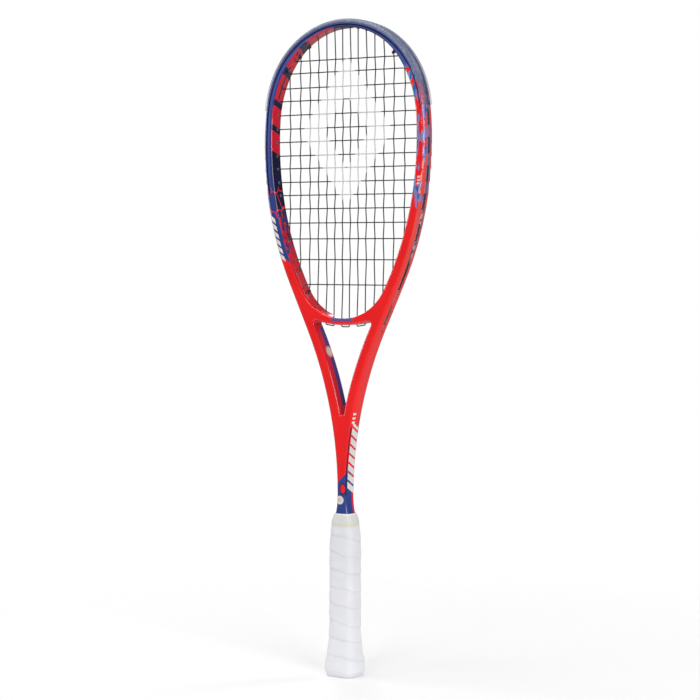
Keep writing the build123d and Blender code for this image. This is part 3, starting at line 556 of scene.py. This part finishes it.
MM = 0.001


def size_at(sections, height):
    """Half width and half depth at a height between sections."""
    for (low, *small), (high, *large) in zip(sections, sections[1:]):
        if height <= high:
            share = (height - low) / (high - low)
            return [a + (b - a) * share for a, b in zip(small, large)]
    return sections[-1][1:]


def eased(value):
    """0 below 0, 1 above 1, and an even curve between."""
    value = min(1.0, max(0.0, value))
    return value * value * (3 - 2 * value)


def wound_sleeve(name, sections, squareness, step, relief, wall):
    """A sleeve drawn up ring by ring through oblong sections, as an object with a wall.

    relief gives how far each point stands out, and how far it lies in a hollow, which the finish reads."""
    low, high = sections[0][0], sections[-1][0]
    rings = round((high - low) / step)
    shape = bmesh.new()
    bmesh.ops.create_circle(shape, segments=SLEEVE_SIDES, radius=1.0)
    edges = shape.edges[:]
    for _ in range(rings):
        grown = bmesh.ops.extrude_edge_only(shape, edges=edges)["geom"]
        edges = [part for part in grown if isinstance(part, bmesh.types.BMEdge)]
        ring = [part for part in grown if isinstance(part, bmesh.types.BMVert)]
        bmesh.ops.translate(shape, verts=ring, vec=(0, 0, 1.0 / rings))
    hollows = []
    for vertex in shape.verts:
        height = low + (high - low) * vertex.co.z
        angle = math.atan2(vertex.co.y, vertex.co.x)
        swell, hollow = relief(angle, height)
        hollows.append(hollow)
        half_x, half_y = size_at(sections, height)
        across, along = abs(math.cos(angle)), abs(math.sin(angle))
        reach = (across / (half_x + swell)) ** squareness + (along / (half_y + swell)) ** squareness
        reach **= -1.0 / squareness
        vertex.co = Vector((reach * math.cos(angle), reach * math.sin(angle), height)) * MM
    bmesh.ops.recalc_face_normals(shape, faces=shape.faces[:])
    for face in shape.faces:
        face.smooth = True
    sleeve = bpy.data.objects.new(name, bpy.data.meshes.new(name))
    shape.to_mesh(sleeve.data)
    shape.free()
    sleeve.data.attributes.new("hollow", "FLOAT", "POINT").data.foreach_set("value", hollows)
    bpy.context.scene.collection.objects.link(sleeve)
    thickness = sleeve.modifiers.new("wall", "SOLIDIFY")
    thickness.thickness = wall * MM
    thickness.offset = -1.0
    return sleeve


def grip_relief(angle, height):
    """How far the wound grip stands off its mean surface, in millimetres, and how deep under a lap it is."""
    place = Vector((math.cos(angle) * 1.4, math.sin(angle) * 1.4, height / 9.0))
    turn = height / TURN_PITCH + angle / (2 * math.pi) + LAP_WANDER * noise.noise(place * 0.8)
    turn %= 1.0
    lap = LAP_RISE * eased(turn * TURN_PITCH / LAP_ROUND) * (1.0 - turn) ** LAP_FALL
    swell = CUSHION * noise.noise(place) + 0.35 * CUSHION * noise.noise(place * 3.1)
    (foot, foot_run), (head, head_run) = WOUND_FROM, WOUND_TO
    fade = eased((height - foot) / foot_run) * (1.0 - eased((height - head) / head_run))
    hollow = eased((turn - (1.0 - HOLLOW_SHARE)) / HOLLOW_SHARE)
    return (lap + swell - 0.3 * LAP_RISE) * fade, hollow * fade


grip = wound_sleeve("cushioned_grip", GRIP, GRIP_SQUARENESS, RING_STEP, grip_relief, GRIP_WALL)
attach(grip, "root")
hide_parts("grip_wrap")

grip_tape, tree, shader = new_material("cushioned_polyurethane_grip", {"IOR": 1.5, "Specular IOR Level": 0.3})
place = place_in_mm(tree)
# Painted shade and grime: the last two or three millimetres under each lap are painted a little darker.
lap_shade_and_grime = node(tree, "Attribute", attribute_name="hollow").outputs["Fac"]
blotches = node(tree, "TexNoise", {"Vector": place, "Scale": 0.06, "Detail": 3.0})
grain = node(tree, "TexNoise", {"Vector": place, "Scale": 1.5, "Detail": 3.0, "Roughness": 0.6})
tint = node(tree, "Mix", {0: blotches, 6: linear("#e3e4e9"), 7: linear("#efeff3")}, data_type="RGBA")
tint = node(tree, "Mix", {0: lap_shade_and_grime, 6: tint.outputs[2], 7: linear("#dedfe5")}, data_type="RGBA")
tree.links.new(tint.outputs[2], shader.inputs["Base Color"])
tree.links.new(node(tree, "MapRange", {"Value": grain, "To Min": 0.5, "To Max": 0.72}).outputs[0],
               shader.inputs["Roughness"])
tree.links.new(node(tree, "Bump", {"Height": grain, "Strength": 0.25, "Distance": 0.0002}).outputs[0],
               shader.inputs["Normal"])
grip.data.materials.append(grip_tape)

# ---- Finishing tape --------------------------------------------------------------------------------
# Two turns of thin pale vinyl tape, pulled tight over the grip's feathered end and onto the shaft.
# Its edges stand up slightly, and its pull leaves faint creases round it.
TAPE = [(158.0, 13.35, 12.45), (164.0, 12.4, 11.9), (169.5, 10.4, 10.8), (170.9, 9.9, 10.4),
        (171.4, 9.5, 10.0)]
TAPE_SQUARENESS = 3.7
TAPE_STEP = 0.25
TAPE_LAYER = 0.22
TAPE_LAP = 160.6                # the outer turn starts at this height
TAPE_WALL = 0.5
TAPE_CREASE = 0.07
ADHESIVE, SELVEDGE = (160.0, 163.0), (169.6, 170.2)     # a tint fades out, and a pale edge comes in


def tape_relief(angle, height):
    """How far the tape stands off its mean surface, in millimetres; it has no hollows."""
    outer_turn = TAPE_LAYER * eased((height - TAPE_LAP - 0.5 * math.sin(angle)) / 0.3)
    place = Vector((math.cos(angle) * 2.0, math.sin(angle) * 2.0, height * 0.9))
    return outer_turn + TAPE_CREASE * noise.noise(place) - TAPE_LAYER, 0.0


tape = wound_sleeve("shaft_finishing_tape", TAPE, TAPE_SQUARENESS, TAPE_STEP, tape_relief, TAPE_WALL)
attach(tape, "root")
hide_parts("finishing_tape")

vinyl, tree, shader = new_material("thin_vinyl_tape", {"IOR": 1.5, "Specular IOR Level": 0.4})
place = place_in_mm(tree)
z = node(tree, "SeparateXYZ", {0: place}).outputs["Z"]
adhesive = node(tree, "MapRange", {"Value": z, "From Min": ADHESIVE[0], "From Max": ADHESIVE[1],
                                   "To Min": 1.0, "To Max": 0.0})
selvedge = node(tree, "MapRange", {"Value": z, "From Min": SELVEDGE[0], "From Max": SELVEDGE[1]})
creases = node(tree, "TexNoise", {"Vector": place, "Scale": 0.35, "Detail": 3.0})
tint = node(tree, "Mix", {0: creases, 6: linear("#dddbd9"), 7: linear("#e8e6e5")}, data_type="RGBA")
tint = node(tree, "Mix", {0: adhesive, 6: tint.outputs[2], 7: linear("#dfe1d0")}, data_type="RGBA")
tint = node(tree, "Mix", {0: selvedge, 6: tint.outputs[2], 7: linear("#f4f3f2")}, data_type="RGBA")
tree.links.new(tint.outputs[2], shader.inputs["Base Color"])
tree.links.new(node(tree, "MapRange", {"Value": creases, "To Min": 0.35, "To Max": 0.55}).outputs[0],
               shader.inputs["Roughness"])
tree.links.new(node(tree, "Bump", {"Height": creases, "Strength": 0.2, "Distance": 0.0002}).outputs[0],
               shader.inputs["Normal"])
tape.data.materials.append(vinyl)
